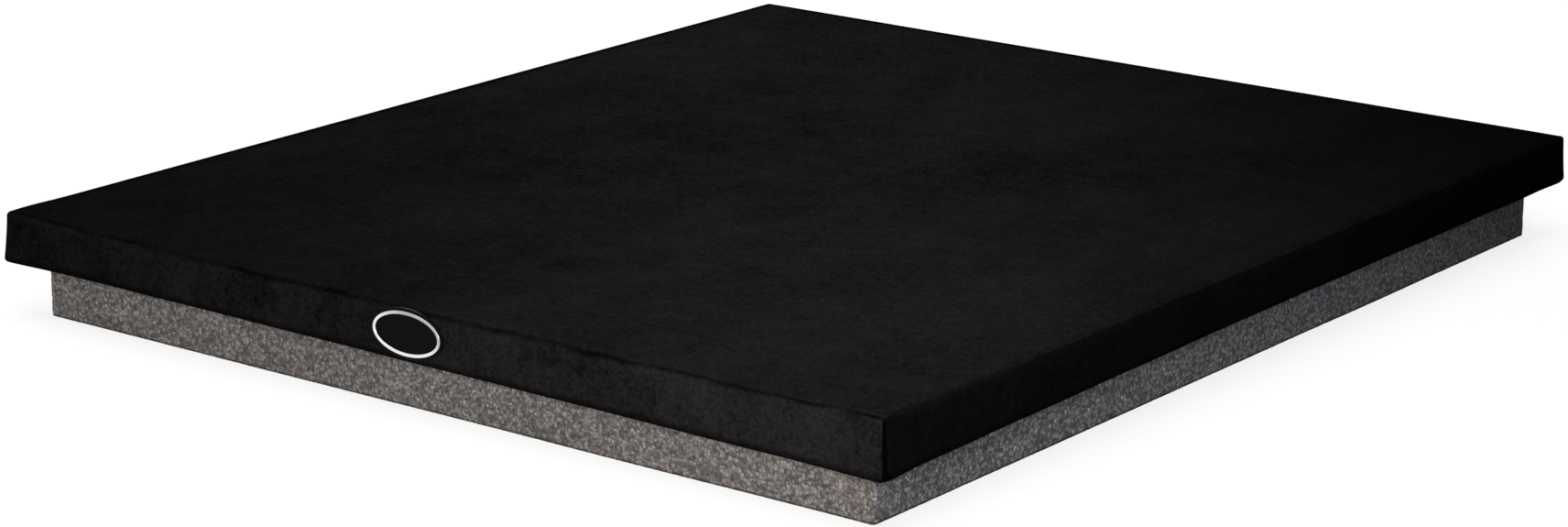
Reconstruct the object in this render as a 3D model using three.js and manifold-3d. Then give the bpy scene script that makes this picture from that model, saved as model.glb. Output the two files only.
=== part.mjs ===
// Speaker isolation pad: a stiff board wrapped in velour, glued to a slab of open-cell foam.
//
// Millimetres, +Z up. The origin is on the floor, under the middle of the pad. The badge is on
// the -Y side. From the floor up the pad holds the foam slab, the velour's turned-under hem with
// its staples, the board, and the velour's top.

import * as THREE from 'three';
import { mergeVertices } from 'three/addons/utils/BufferGeometryUtils.js';
import Module from 'manifold-3d';

const wasm = await Module();
wasm.setup();

// The board under the cloth: a 19 mm fibreboard panel with sanded edges
const BOARD_WIDTH = 448;
const BOARD_DEPTH = 518;
const BOARD_THICKNESS = 19;
const BOARD_EDGE_RADIUS = 2;
// how much rounder the four corners are in plan than the edges are in section
const BOARD_CORNER_SANDING = 0.6;

// The velour: wrapped over the top and sides and turned under
const CLOTH_THICKNESS = 1;
// the pile's slack between the board and the cloth's back
const CLOTH_EASE = 0.2;
// how much tighter the cloth turns an edge than the sanded board does
const CLOTH_TURN_EASE = 0.4;
// from the board's edge to the hem's raw edge, on the underside
const HEM_WIDTH = 36;
// the open seam where two strips of the hem meet at a corner
const MITRE_GAP = 0.8;
const MITRE_TO_EDGE = 4;

// The folded corners: a pleat lies on each end of the two X sides
// from the corner to the pleat's folded edge
const PLEAT_SETBACK = 3.4;
const PLEAT_LENGTH = 24;
const PLEAT_PROUD = 0.8;

// The foam slab, set in from the cloth all round
const FOAM_THICKNESS = 24;
const FOAM_INSET = 12;
const FOAM_CORNER_RADIUS = 1.5;
const GLUE_LINE = 0.2;
// between the foam's raised middle and the hem's raw edge
const FOAM_TO_HEM = 0.6;

// The staples: narrow-crown upholstery staples through the hem into the board
const STAPLE_CROWN = 10;
const STAPLE_HEIGHT = 10;
const STAPLE_WIRE_THICKNESS = 0.6;
const STAPLE_WIRE_WIDTH = 1.2;
const STAPLE_BEND_RADIUS = 0.5;
const STAPLE_TO_RAW_EDGE = 14;
const STAPLE_SPACING = 72;
// from the end of a side to its first staple
const STAPLE_FROM_END = 34;
const STAPLE_CLEARANCE = 0.3;

// The badge: an oval plate with a raised bright rim round a plain sunken field
const BADGE_HALF_LENGTH = 18.6;
const BADGE_HALF_HEIGHT = 10.2;
const BADGE_BORDER_THICKNESS = 0.9;
const BADGE_BORDER_WIDTH = 0.9;
const BADGE_RIM_WIDTH = 1.8;
const BADGE_RIM_RISE = 0.4;
const BADGE_FIELD_SINK = 0.25;
const BADGE_EDGE_EASE = 0.2;
const BADGE_ADHESIVE = 0.2;

// How finely the round stretches are divided
const CORNER_SEGMENTS = 5;
const EDGE_SEGMENTS = 4;
const BEND_SEGMENTS = 3;
const OVAL_SEGMENTS = 56;
// how far a cutting solid runs past the face that it opens
const CUT_OVERRUN = 1;

// Levels and faces that several pieces share
const HEM_UNDERSIDE = FOAM_THICKNESS + GLUE_LINE;
const BOARD_UNDERSIDE = HEM_UNDERSIDE + CLOTH_THICKNESS + CLOTH_EASE;
const CLOTH_WRAP = CLOTH_THICKNESS + CLOTH_EASE;
const COVER_WIDTH = BOARD_WIDTH + 2 * CLOTH_WRAP;
const COVER_DEPTH = BOARD_DEPTH + 2 * CLOTH_WRAP;
const COVER_HEIGHT = BOARD_THICKNESS + 2 * CLOTH_WRAP;
const COVER_EDGE_RADIUS = BOARD_EDGE_RADIUS + CLOTH_THICKNESS;
const OPENING_WIDTH = BOARD_WIDTH - 2 * HEM_WIDTH;
const OPENING_DEPTH = BOARD_DEPTH - 2 * HEM_WIDTH;
const STAPLE_LINE = HEM_WIDTH - STAPLE_TO_RAW_EDGE;

const SURFACES = {
  fibreboard: { color: 0x9c7b57, roughness: 0.85, metalness: 0 },
  velour: { color: 0x171618, roughness: 0.95, metalness: 0 },
  foam: { color: 0x6a6866, roughness: 1, metalness: 0 },
  staple: { color: 0xb4b5b8, roughness: 0.35, metalness: 1 },
  badge: { color: 0xc9cacd, roughness: 0.3, metalness: 1 },
};

/** The outline of a rectangle with rounded corners, centred on the origin. */
function roundedRectangle(width, depth, radius) {
  const x = width / 2;
  const y = depth / 2;
  const shape = new THREE.Shape();
  shape.moveTo(x, radius - y);
  shape.lineTo(x, y - radius);
  shape.absarc(x - radius, y - radius, radius, 0, Math.PI / 2, false);
  shape.lineTo(radius - x, y);
  shape.absarc(radius - x, y - radius, radius, Math.PI / 2, Math.PI, false);
  shape.lineTo(-x, radius - y);
  shape.absarc(radius - x, radius - y, radius, Math.PI, 1.5 * Math.PI, false);
  shape.lineTo(x - radius, -y);
  shape.absarc(x - radius, radius - y, radius, 1.5 * Math.PI, 2 * Math.PI, false);
  return shape;
}

/** A slab with rounded corners and eased upper and lower edges, standing on the level bottom. */
function easedSlab({ width, depth, height, bottom, edgeRadius }) {
  const outline = roundedRectangle(width, depth, edgeRadius + BOARD_CORNER_SANDING);
  const geometry = new THREE.ExtrudeGeometry(outline, {
    depth: height - 2 * edgeRadius,
    curveSegments: CORNER_SEGMENTS,
    bevelThickness: edgeRadius,
    bevelSize: edgeRadius,
    bevelOffset: -edgeRadius,
    bevelSegments: EDGE_SEGMENTS,
  });
  return geometry.translate(0, 0, bottom + edgeRadius);
}

/** A slab with square upper and lower edges, standing on the level bottom. */
function squareSlab({ width, depth, height, bottom, cornerRadius }) {
  const geometry = new THREE.ExtrudeGeometry(roundedRectangle(width, depth, cornerRadius), {
    depth: height,
    curveSegments: CORNER_SEGMENTS,
    bevelEnabled: false,
  });
  return geometry.translate(0, 0, bottom);
}

/** A plain block given by its middle and its size. */
function block(size, middle) {
  return new THREE.BoxGeometry(...size).translate(...middle);
}

/** A closed geometry as a solid that can be cut and joined. */
function solidOf(geometry) {
  const bare = geometry.clone();
  bare.deleteAttribute('normal');
  bare.deleteAttribute('uv');
  const merged = mergeVertices(bare, 1e-4);
  return new wasm.Manifold(new wasm.Mesh({
    numProp: 3,
    vertProperties: new Float32Array(merged.attributes.position.array),
    triVerts: new Uint32Array(merged.index.array),
  }));
}

/** The surface of a cut or joined solid as a geometry. */
function geometryOf(solid) {
  const mesh = solid.getMesh();
  const geometry = new THREE.BufferGeometry();
  geometry.setAttribute('position', new THREE.BufferAttribute(mesh.vertProperties, 3));
  geometry.setIndex(new THREE.BufferAttribute(mesh.triVerts, 1));
  geometry.computeVertexNormals();
  return geometry;
}

/** A solid with each of the cutters taken out of it. */
function cutBy(solid, cutters) {
  return cutters.reduce((left, cutter) => left.subtract(solidOf(cutter)), solid);
}

/** A named mesh of one of the pad's surfaces. */
function named(name, geometry, surface) {
  const mesh = new THREE.Mesh(geometry, new THREE.MeshStandardMaterial(SURFACES[surface]));
  mesh.name = name;
  return mesh;
}

/** Evenly spaced places along a side, from its first staple to its last. */
function placesAlong(length) {
  const span = length - 2 * STAPLE_FROM_END;
  const gaps = Math.max(1, Math.round(span / STAPLE_SPACING));
  return Array.from({ length: gaps + 1 }, (_, i) => span * (i / gaps - 0.5));
}

/** Where each staple stands, and whether its crown runs along X or along Y. */
function staplePlaces() {
  const x = BOARD_WIDTH / 2 - STAPLE_LINE;
  const y = BOARD_DEPTH / 2 - STAPLE_LINE;
  const places = [];
  for (const side of [-1, 1]) {
    for (const along of placesAlong(BOARD_WIDTH)) {
      places.push({ x: along, y: side * y, alongX: true });
    }
    for (const along of placesAlong(BOARD_DEPTH)) {
      places.push({ x: side * x, y: along, alongX: false });
    }
  }
  return places;
}

/** Blocks that clear both legs of every staple between two levels. */
function legCutters(places, low, high) {
  const across = STAPLE_WIRE_THICKNESS + 2 * STAPLE_CLEARANCE;
  const wide = STAPLE_WIRE_WIDTH + 2 * STAPLE_CLEARANCE;
  const reach = (STAPLE_CROWN - STAPLE_WIRE_THICKNESS) / 2;
  return places.flatMap(({ x, y, alongX }) => [-reach, reach].map((offset) => block(
    alongX ? [across, wide, high - low] : [wide, across, high - low],
    alongX ? [x + offset, y, (low + high) / 2] : [x, y + offset, (low + high) / 2],
  )));
}

/** Blocks that clear the crown of every staple in the top of the foam. */
function crownCutters(places) {
  const long = STAPLE_CROWN + 2 * STAPLE_CLEARANCE;
  const wide = STAPLE_WIRE_WIDTH + 2 * STAPLE_CLEARANCE;
  const low = HEM_UNDERSIDE - STAPLE_WIRE_THICKNESS - STAPLE_CLEARANCE;
  const high = FOAM_THICKNESS + CUT_OVERRUN;
  return places.map(({ x, y, alongX }) => block(
    alongX ? [long, wide, high - low] : [wide, long, high - low],
    [x, y, (low + high) / 2],
  ));
}

/** The fibreboard panel, with blind holes that the staples' legs are driven into. */
function boardCore(places) {
  const panel = solidOf(easedSlab({
    width: BOARD_WIDTH,
    depth: BOARD_DEPTH,
    height: BOARD_THICKNESS,
    bottom: BOARD_UNDERSIDE,
    edgeRadius: BOARD_EDGE_RADIUS,
  }));
  const low = BOARD_UNDERSIDE - CUT_OVERRUN;
  const high = HEM_UNDERSIDE - STAPLE_WIRE_THICKNESS + STAPLE_HEIGHT + STAPLE_CLEARANCE;
  return geometryOf(cutBy(panel, legCutters(places, low, high)));
}

/** The diagonal seams of the hem, one at each corner of the underside. */
function mitreCutters() {
  const x0 = OPENING_WIDTH / 2 - CUT_OVERRUN;
  const y0 = OPENING_DEPTH / 2 - CUT_OVERRUN;
  const reach = HEM_WIDTH + CUT_OVERRUN - MITRE_TO_EDGE;
  const height = CLOTH_THICKNESS + CLOTH_EASE + CUT_OVERRUN;
  const cutters = [];
  for (const sx of [-1, 1]) {
    for (const sy of [-1, 1]) {
      const seam = new THREE.BoxGeometry(reach * Math.SQRT2, MITRE_GAP, height);
      seam.rotateZ(sx * sy * Math.PI / 4);
      const middle = [sx * (x0 + reach / 2), sy * (y0 + reach / 2)];
      seam.translate(...middle, BOARD_UNDERSIDE - height / 2);
      cutters.push(seam);
    }
  }
  return cutters;
}

/** A pleat's wedge: nothing at the top corner, and widest and thickest at the hem. */
function pleatWedge(sx, sy) {
  const face = sx * COVER_WIDTH / 2;
  const sunk = face - sx * CLOTH_THICKNESS / 2;
  const fold = sy * (COVER_DEPTH / 2 - PLEAT_SETBACK);
  const far = fold - sy * PLEAT_LENGTH;
  const top = HEM_UNDERSIDE + COVER_HEIGHT - COVER_EDGE_RADIUS / 2;
  const corners = [
    [sunk, fold, top],
    [sunk, fold, HEM_UNDERSIDE],
    [sunk, far, HEM_UNDERSIDE],
    [face, fold, top],
    [face + sx * PLEAT_PROUD, fold, HEM_UNDERSIDE],
    [face, far, HEM_UNDERSIDE],
  ];
  const outward = [[0, 2, 1], [3, 4, 5], [0, 1, 4], [0, 4, 3], [1, 2, 5], [1, 5, 4], [2, 0, 3], [2, 3, 5]];
  const faces = sx * sy > 0 ? outward.map(([a, b, c]) => [a, c, b]) : outward;
  const geometry = new THREE.BufferGeometry();
  geometry.setAttribute('position', new THREE.Float32BufferAttribute(corners.flat(), 3));
  geometry.setIndex(faces.flat());
  return geometry;
}

/** The four pleats, kept to the rounded form of the cover's edges. */
function pleats() {
  const wedges = [-1, 1].flatMap((sx) => [-1, 1].map((sy) => solidOf(pleatWedge(sx, sy))));
  const swollen = solidOf(easedSlab({
    width: COVER_WIDTH + 2 * PLEAT_PROUD,
    depth: COVER_DEPTH,
    height: COVER_HEIGHT,
    bottom: HEM_UNDERSIDE,
    edgeRadius: COVER_EDGE_RADIUS,
  }));
  return wedges.map((wedge) => wedge.intersect(swollen));
}

/** The velour: a shell round the board, open inside the hem, with pleated and mitred corners. */
function velourCover(places) {
  const wrapped = solidOf(easedSlab({
    width: COVER_WIDTH,
    depth: COVER_DEPTH,
    height: COVER_HEIGHT,
    bottom: HEM_UNDERSIDE,
    edgeRadius: COVER_EDGE_RADIUS,
  }));
  const pleated = pleats().reduce((all, pleat) => all.add(pleat), wrapped);
  const room = easedSlab({
    width: BOARD_WIDTH + 2 * CLOTH_EASE,
    depth: BOARD_DEPTH + 2 * CLOTH_EASE,
    height: BOARD_THICKNESS + 2 * CLOTH_EASE,
    bottom: BOARD_UNDERSIDE - CLOTH_EASE,
    edgeRadius: BOARD_EDGE_RADIUS - CLOTH_TURN_EASE + CLOTH_EASE,
  });
  const opening = squareSlab({
    width: OPENING_WIDTH,
    depth: OPENING_DEPTH,
    height: CLOTH_THICKNESS + CUT_OVERRUN + BOARD_EDGE_RADIUS,
    bottom: HEM_UNDERSIDE - CUT_OVERRUN,
    cornerRadius: BOARD_EDGE_RADIUS,
  });
  const legs = legCutters(places, HEM_UNDERSIDE - CUT_OVERRUN, BOARD_UNDERSIDE);
  return geometryOf(cutBy(pleated, [room, opening, ...mitreCutters(), ...legs]));
}

/** The foam slab: its middle rises inside the hem to the board, and pockets clear the staples. */
function foamBase(places) {
  const slab = solidOf(squareSlab({
    width: COVER_WIDTH - 2 * FOAM_INSET,
    depth: COVER_DEPTH - 2 * FOAM_INSET,
    height: FOAM_THICKNESS,
    bottom: 0,
    cornerRadius: FOAM_CORNER_RADIUS,
  }));
  const middle = solidOf(squareSlab({
    width: OPENING_WIDTH - 2 * FOAM_TO_HEM,
    depth: OPENING_DEPTH - 2 * FOAM_TO_HEM,
    height: BOARD_UNDERSIDE - GLUE_LINE - FOAM_THICKNESS / 2,
    bottom: FOAM_THICKNESS / 2,
    cornerRadius: BOARD_EDGE_RADIUS,
  }));
  return geometryOf(cutBy(slab.add(middle), crownCutters(places)));
}

/** One staple, its legs pointing up and the upper face of its crown at the origin's level. */
function stapleGeometry() {
  const half = STAPLE_CROWN / 2;
  const inner = half - STAPLE_WIRE_THICKNESS;
  const low = -STAPLE_WIRE_THICKNESS;
  const tip = STAPLE_HEIGHT - STAPLE_WIRE_THICKNESS;
  const bend = STAPLE_BEND_RADIUS;
  const outline = new THREE.Shape();
  outline.moveTo(inner, 0);
  outline.lineTo(inner, tip - STAPLE_WIRE_THICKNESS);
  outline.lineTo(half, tip);
  outline.lineTo(half, low + bend);
  outline.absarc(half - bend, low + bend, bend, 0, -Math.PI / 2, true);
  outline.lineTo(bend - half, low);
  outline.absarc(bend - half, low + bend, bend, -Math.PI / 2, -Math.PI, true);
  outline.lineTo(-half, tip);
  outline.lineTo(-inner, tip - STAPLE_WIRE_THICKNESS);
  outline.lineTo(-inner, 0);
  outline.closePath();
  const geometry = new THREE.ExtrudeGeometry(outline, {
    depth: STAPLE_WIRE_WIDTH,
    curveSegments: BEND_SEGMENTS,
    bevelEnabled: false,
  });
  geometry.translate(0, 0, -STAPLE_WIRE_WIDTH / 2);
  return geometry.rotateX(Math.PI / 2);
}

/** Every staple, in its place round the hem. */
function staples(places) {
  const group = new THREE.Group();
  const geometry = stapleGeometry();
  places.forEach(({ x, y, alongX }, i) => {
    const staple = named(`staple_${String(i + 1).padStart(2, '0')}`, geometry, 'staple');
    staple.position.set(x, y, HEM_UNDERSIDE);
    staple.rotation.z = alongX ? 0 : Math.PI / 2;
    group.add(staple);
  });
  return group;
}

/** An oval outline, set in from the badge's edge. */
function oval(inset) {
  const outline = new THREE.Shape();
  outline.absellipse(0, 0, BADGE_HALF_LENGTH - inset, BADGE_HALF_HEIGHT - inset, 0, 2 * Math.PI);
  return outline;
}

/** An oval disc between two levels, with its upper edge eased. */
function ovalDisc(inset, low, high, ease) {
  const geometry = new THREE.ExtrudeGeometry(oval(inset), {
    depth: high - low - 2 * ease,
    curveSegments: OVAL_SEGMENTS / 2,
    bevelEnabled: ease > 0,
    bevelThickness: ease,
    bevelSize: ease,
    bevelOffset: -ease,
    bevelSegments: 2,
  });
  return geometry.translate(0, 0, low + ease);
}

/** The badge, lying on its back: a border, a raised rim inside it, and a sunken field. */
function badgePlate() {
  const rimTop = BADGE_BORDER_THICKNESS + BADGE_RIM_RISE;
  const field = BADGE_BORDER_THICKNESS - BADGE_FIELD_SINK;
  const fieldInset = BADGE_BORDER_WIDTH + BADGE_RIM_WIDTH;
  const plate = solidOf(ovalDisc(0, 0, BADGE_BORDER_THICKNESS, BADGE_EDGE_EASE));
  const rim = solidOf(ovalDisc(BADGE_BORDER_WIDTH, BADGE_EDGE_EASE, rimTop, BADGE_EDGE_EASE));
  const sink = ovalDisc(fieldInset, field, rimTop + CUT_OVERRUN, 0);
  return geometryOf(cutBy(plate.add(rim), [sink]));
}

/** The badge's mesh, stuck upright on the middle of the -Y side. */
function badge() {
  const mesh = named('badge_plate', badgePlate(), 'badge');
  mesh.rotation.x = Math.PI / 2;
  mesh.position.set(0, -COVER_DEPTH / 2 - BADGE_ADHESIVE, HEM_UNDERSIDE + COVER_HEIGHT / 2);
  return mesh;
}

/** The whole pad. */
function isolationPad() {
  const places = staplePlaces();
  const pad = new THREE.Group();
  pad.add(named('foam_base', foamBase(places), 'foam'));
  pad.add(named('board_core', boardCore(places), 'fibreboard'));
  pad.add(named('velour_cover', velourCover(places), 'velour'));
  pad.add(staples(places));
  pad.add(badge());
  return pad;
}

export default isolationPad();
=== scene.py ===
"""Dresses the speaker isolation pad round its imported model.

The pad is a fibreboard panel wrapped in black velour, glued to a slab of speckled grey foam, with
an oval badge on the -Y side. Every length is in metres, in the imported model's frame: +Z is up and
the origin is on the floor under the middle of the pad.
"""

import logging
import math
from collections.abc import Callable, Sequence
from dataclasses import dataclass, field
from enum import Enum

import bmesh
import bpy
import numpy as np
from mathutils import Matrix, Vector, noise


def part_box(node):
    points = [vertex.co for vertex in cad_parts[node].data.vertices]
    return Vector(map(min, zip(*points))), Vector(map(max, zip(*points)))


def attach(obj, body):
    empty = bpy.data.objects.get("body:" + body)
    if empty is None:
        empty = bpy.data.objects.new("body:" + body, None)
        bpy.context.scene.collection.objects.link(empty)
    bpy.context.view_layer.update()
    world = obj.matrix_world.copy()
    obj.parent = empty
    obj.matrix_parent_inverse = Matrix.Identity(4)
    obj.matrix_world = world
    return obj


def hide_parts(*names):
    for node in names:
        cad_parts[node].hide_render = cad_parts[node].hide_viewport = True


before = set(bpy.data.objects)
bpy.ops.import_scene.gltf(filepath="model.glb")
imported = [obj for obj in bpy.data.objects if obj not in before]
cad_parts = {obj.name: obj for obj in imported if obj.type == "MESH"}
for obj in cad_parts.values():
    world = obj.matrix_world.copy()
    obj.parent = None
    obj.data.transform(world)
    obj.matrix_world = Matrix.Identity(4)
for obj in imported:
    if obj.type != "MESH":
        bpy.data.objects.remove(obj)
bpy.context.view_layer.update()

log = logging.getLogger("isolation_pad")

MM = 0.001
BODY = "root"
PHOTO_WIDTH_PX = 1712
SENSOR_MM = 36.0
UNIT = (0.0, 1.0)

Colour = tuple[float, float, float]


def grey(level: float) -> Colour:
    """A neutral colour of one linear level."""
    return (level, level, level)


class Side(Enum):
    """A side of the pad, by the way that it faces in plan, in order round the pad."""

    RIGHT = (1, 0)
    BACK = (0, 1)
    LEFT = (-1, 0)
    FRONT = (0, -1)


class Graph:
    """Adds nodes to one node tree and links them by their sockets' names."""

    def __init__(self, tree: bpy.types.NodeTree) -> None:
        """Starts with an empty tree."""
        self.tree = tree
        tree.nodes.clear()

    def add(self, kind: str, **inputs: object) -> bpy.types.Node:
        """Adds a node and sets or links its inputs.

        Args:
            kind: The node's type, without the ShaderNode that starts it.
            inputs: Socket names with underscores for spaces, each with a value or a socket to
                link from. A name that starts with set_ is a property of the node.

        Returns:
            The new node.
        """
        node = self.tree.nodes.new(f"ShaderNode{kind}")
        for name in [name for name in inputs if name.startswith("set_")]:
            setattr(node, name.removeprefix("set_"), inputs.pop(name))
        self.feed_all(node, **inputs)
        return node

    def feed(self, node: bpy.types.Node, name: str | int, value: object) -> None:
        """Sets or links one input.

        Args:
            node: The node whose input it is.
            name: The input's name, or its number.
            value: A plain value, or an output socket to link from.
        """
        socket = node.inputs[name]
        if isinstance(value, bpy.types.NodeSocket):
            self.tree.links.new(value, socket)
        elif socket.type == "RGBA" and len(value) == 3:
            socket.default_value = (*value, 1.0)
        else:
            socket.default_value = value

    def feed_all(self, node: bpy.types.Node, **inputs: object) -> None:
        """Sets or links several inputs, whose names have underscores for spaces."""
        for name, value in inputs.items():
            self.feed(node, name.replace("_", " "), value)

    def math(self, operation: str, *terms: object) -> bpy.types.NodeSocket:
        """The result of one arithmetic step on values or sockets."""
        node = self.add("Math", set_operation=operation)
        for i, term in enumerate(terms):
            self.feed(node, i, term)
        return node.outputs[0]

    def remap(
        self, value: bpy.types.NodeSocket, source: Sequence[float], target: Sequence[float]
    ) -> bpy.types.NodeSocket:
        """A value taken from one range to another, and kept inside it.

        Args:
            value: The socket to read.
            source: The lowest and highest value that it is read between.
            target: What those two become.

        Returns:
            The remapped value's socket.
        """
        node = self.add("MapRange", set_clamp=True, Value=value)
        for name, number in zip(("From Min", "From Max", "To Min", "To Max"), (*source, *target)):
            self.feed(node, name, number)
        return node.outputs["Result"]

    def blend(self, factor: object, first: object, second: object) -> bpy.types.NodeSocket:
        """One colour mixed into another.

        Args:
            factor: How much of the second colour shows, from 0 to 1.
            first: The colour where the factor is 0.
            second: The colour where the factor is 1.

        Returns:
            The mixed colour's socket.
        """
        node = self.add("Mix", set_data_type="RGBA")
        for place, value in ((0, factor), (6, first), (7, second)):
            self.feed(node, place, value)
        return node.outputs[2]

    def shade(self, level: object, colour: object) -> bpy.types.NodeSocket:
        """A colour multiplied by a grey level."""
        node = self.add("VectorMath", set_operation="SCALE")
        self.feed(node, 0, colour)
        self.feed(node, 3, level)
        return node.outputs[0]

    def row_place(self) -> bpy.types.NodeSocket:
        """The place of the shaded point in the pad's own frame."""
        return self.add("TexCoord").outputs["Object"]

    def place(self) -> bpy.types.NodeOutputs:
        """The X, Y and Z sockets of the shaded point's place."""
        return self.add("SeparateXYZ", Vector=self.row_place()).outputs

    def facing(self) -> bpy.types.NodeOutputs:
        """The X, Y and Z sockets of the way that the shaded face points."""
        return self.add("SeparateXYZ", Vector=self.add("TexCoord").outputs["Normal"]).outputs

    def bump(self, strength: float, height: float, source: object) -> bpy.types.NodeSocket:
        """A normal that follows a height, which stands for so many metres."""
        return self.add("Bump", Strength=strength, Distance=height, Height=source).outputs[0]


class Effect:
    """A shader effect that several finishes share, as one node group with named sockets."""

    def __init__(
        self,
        name: str,
        inputs: dict[str, float],
        outputs: Sequence[str],
        wire: Callable[[Graph, bpy.types.Node], dict[str, bpy.types.NodeSocket]],
    ) -> None:
        """Builds the group.

        Args:
            name: The group's name.
            inputs: Each input's name and its usual value.
            outputs: The names of the values that the group gives.
            wire: Fills the group and returns the socket that feeds each output.
        """
        self.group = bpy.data.node_groups.new(name, "ShaderNodeTree")
        for label, usual in inputs.items():
            socket = self.group.interface.new_socket(
                label, in_out="INPUT", socket_type="NodeSocketFloat"
            )
            socket.default_value = usual
        for label in outputs:
            self.group.interface.new_socket(
                label, in_out="OUTPUT", socket_type="NodeSocketFloat"
            )
        graph = Graph(self.group)
        start = self.group.nodes.new("NodeGroupInput")
        end = self.group.nodes.new("NodeGroupOutput")
        for label, source in wire(graph, start).items():
            self.group.links.new(source, end.inputs[label])

    def use(self, graph: Graph, **inputs: float) -> bpy.types.Node:
        """Places the group in a material with its own values."""
        return graph.add("Group", set_node_tree=self.group, **inputs)


def wire_cloud(graph: Graph, start: bpy.types.Node) -> dict[str, bpy.types.NodeSocket]:
    """Soft smudges, longer one way than the other, as a nap or a saw leaves them."""
    place = graph.add("Mapping", Vector=graph.row_place())
    stretch = graph.add(
        "CombineXYZ", X=1.0, Y=start.outputs["Stretch Y"], Z=start.outputs["Stretch Z"]
    )
    graph.feed(place, "Scale", stretch.outputs[0])
    wide = graph.add("TexNoise", Vector=place.outputs[0], Detail=4.0, Roughness=0.55)
    graph.feed(wide, "Scale", start.outputs["Scale"])
    fine = graph.add("TexNoise", Vector=place.outputs[0], Detail=2.0, Roughness=0.5)
    graph.feed(fine, "Scale", graph.math("MULTIPLY", start.outputs["Scale"], 4.3))
    both = graph.math("ADD", wide.outputs[0], graph.math("MULTIPLY", fine.outputs[0], 0.35))
    low = graph.math("SUBTRACT", both, start.outputs["Cut"])
    return {"Cloud": graph.add("Clamp", Value=graph.math("MULTIPLY", low, 2.2)).outputs[0]}


def wire_grains(graph: Graph, start: bpy.types.Node) -> dict[str, bpy.types.NodeSocket]:
    """Small cells, each with its own tone, and a mask of the pits between them."""
    warp = graph.add("TexNoise", Vector=graph.row_place(), Scale=420.0, Detail=2.0)
    shift = graph.add("VectorMath", set_operation="SCALE")
    graph.feed(shift, 0, warp.outputs["Color"])
    graph.feed(shift, 3, graph.math("MULTIPLY", start.outputs["Cell Size"], 0.9))
    place = graph.add("VectorMath", set_operation="ADD")
    graph.feed(place, 0, graph.row_place())
    graph.feed(place, 1, shift.outputs[0])
    rate = graph.math("DIVIDE", 1.0, start.outputs["Cell Size"])
    cells = graph.add("TexVoronoi", Vector=place.outputs[0], Scale=rate)
    tone = graph.add("SeparateColor", Color=cells.outputs["Color"])
    pits = graph.remap(cells.outputs["Distance"], (0.28, 0.72), UNIT)
    return {"Tone": tone.outputs[0], "Chance": tone.outputs[1], "Pits": pits}


def wire_fibres(graph: Graph, start: bpy.types.Node) -> dict[str, bpy.types.NodeSocket]:
    """The ends of a dense pile or of pressed fibres, as a height."""
    place = graph.row_place()
    rate = graph.math("DIVIDE", 1.0, start.outputs["Fibre Size"])
    tufts = graph.add("TexNoise", Vector=place, Scale=rate, Detail=3.0, Roughness=0.7)
    ends = graph.add("TexVoronoi", Vector=place, Scale=graph.math("MULTIPLY", rate, 1.7))
    dips = graph.math("MULTIPLY", ends.outputs["Distance"], start.outputs["Depth"])
    return {"Height": graph.math("SUBTRACT", tufts.outputs[0], dips)}


class Effects:
    """The shader effects, each built once."""

    def __init__(self) -> None:
        """Builds the three node groups."""
        self.cloud = Effect(
            "soft_smudges",
            {"Scale": 20.0, "Stretch Y": 1.0, "Stretch Z": 1.0, "Cut": 0.45},
            ["Cloud"],
            wire_cloud,
        )
        self.grains = Effect(
            "tone_cells", {"Cell Size": 0.0016}, ["Tone", "Chance", "Pits"], wire_grains
        )
        self.fibres = Effect(
            "fibre_ends", {"Fibre Size": 0.0006, "Depth": 0.4}, ["Height"], wire_fibres
        )

    def smudges(self, graph: Graph, **inputs: float) -> bpy.types.NodeSocket:
        """Soft smudges in a material, from 0 to 1."""
        return self.cloud.use(graph, **inputs).outputs["Cloud"]

    def fibre_height(self, graph: Graph, size: float, depth: float) -> bpy.types.NodeSocket:
        """The height of the ends of a pile or of fibres in a material."""
        return self.fibres.use(graph, Fibre_Size=size, Depth=depth).outputs["Height"]


def new_material(name: str) -> tuple[bpy.types.Material, Graph, bpy.types.Node]:
    """Starts a material.

    Args:
        name: The material's name.

    Returns:
        The material, its graph and its Principled shader, which already feeds the output.
    """
    material = bpy.data.materials.new(name)
    material.use_nodes = True
    graph = Graph(material.node_tree)
    shader = graph.add("BsdfPrincipled")
    graph.add("OutputMaterial", Surface=shader.outputs[0])
    return material, graph, shader


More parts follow.
